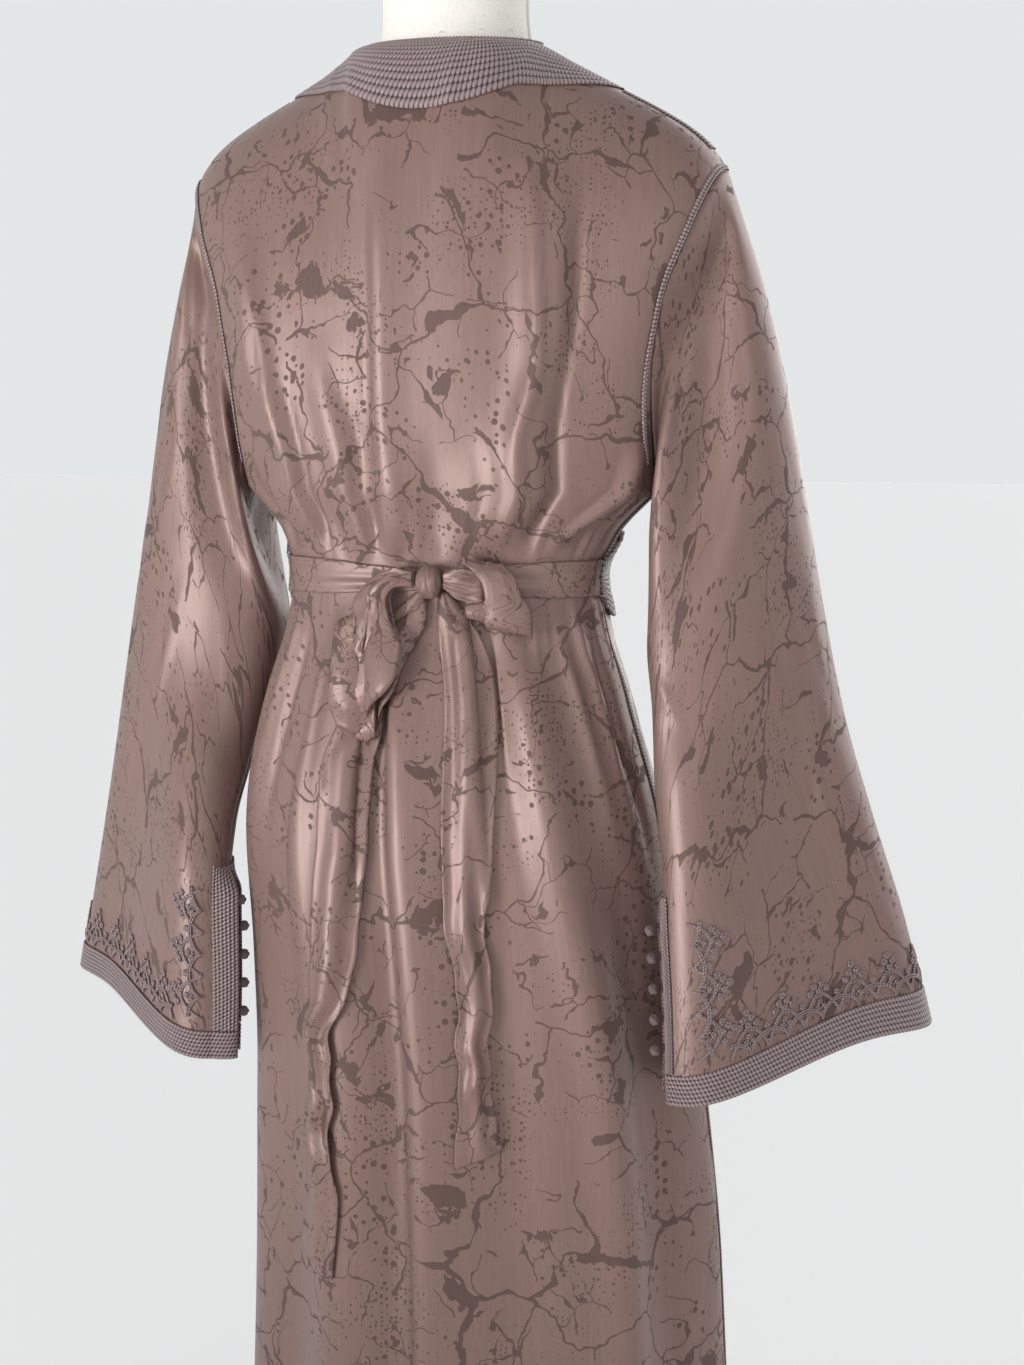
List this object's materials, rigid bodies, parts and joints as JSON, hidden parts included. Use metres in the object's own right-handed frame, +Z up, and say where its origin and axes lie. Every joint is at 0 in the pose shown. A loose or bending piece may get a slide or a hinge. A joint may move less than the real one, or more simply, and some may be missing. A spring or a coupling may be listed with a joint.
{
  "type": "moroccan kaftan on dress form",
  "caption": "Long satin kaftan with plaited edge bands, wide open-cuff sleeves and a tied belt, worn by a limbless dress form on a round base; shows or stores a worn garment.",
  "frame": {"origin": "centre of the base's underside, on the floor", "axes": "+Z up along the pole; -Y is the way the kaftan's front faces; -X is the wearer's right"},
  "size_m": [0.7118, 0.3946, 1.5573],
  "materials": {
    "satin": "satin jacquard",
    "braid": "matte plaited silk cord",
    "linen": "plain woven linen",
    "wood": "satin varnish",
    "steel": "satin powder coat"
  },
  "bodies": {
    "root": {"armhole_braid_left": "braid", "armhole_braid_right": "braid", "back_panel": "satin", "belt_front": "braid", "belt_knot": "satin", "belt_tie_left": "satin", "belt_tie_right": "satin", "bow_flap": "satin", "bow_loop_left": "satin", "bow_loop_right": "satin", "button_left_1": "braid", "button_left_2": "braid", "button_left_3": "braid", "button_left_4": "braid", "button_left_5": "braid", "button_right_1": "braid", "button_right_2": "braid", "button_right_3": "braid", "button_right_4": "braid", "button_right_5": "braid", "cuff_band_left": "braid", "cuff_band_right": "braid", "cuff_cordwork_left": "braid", "cuff_cordwork_right": "braid", "form_base": "steel", "form_cap": "wood", "form_pole": "steel", "form_torso": "linen", "front_band_left": "braid", "front_band_right": "braid", "front_left": "satin", "front_right": "satin", "neck_band": "braid", "shoulder_braid_left": "braid", "shoulder_braid_right": "braid", "side_braid_left": "braid", "side_braid_right": "braid", "sleeve_left": "satin", "sleeve_right": "satin", "tail_left": "satin", "tail_right": "satin"}
  },
  "joints": []
}
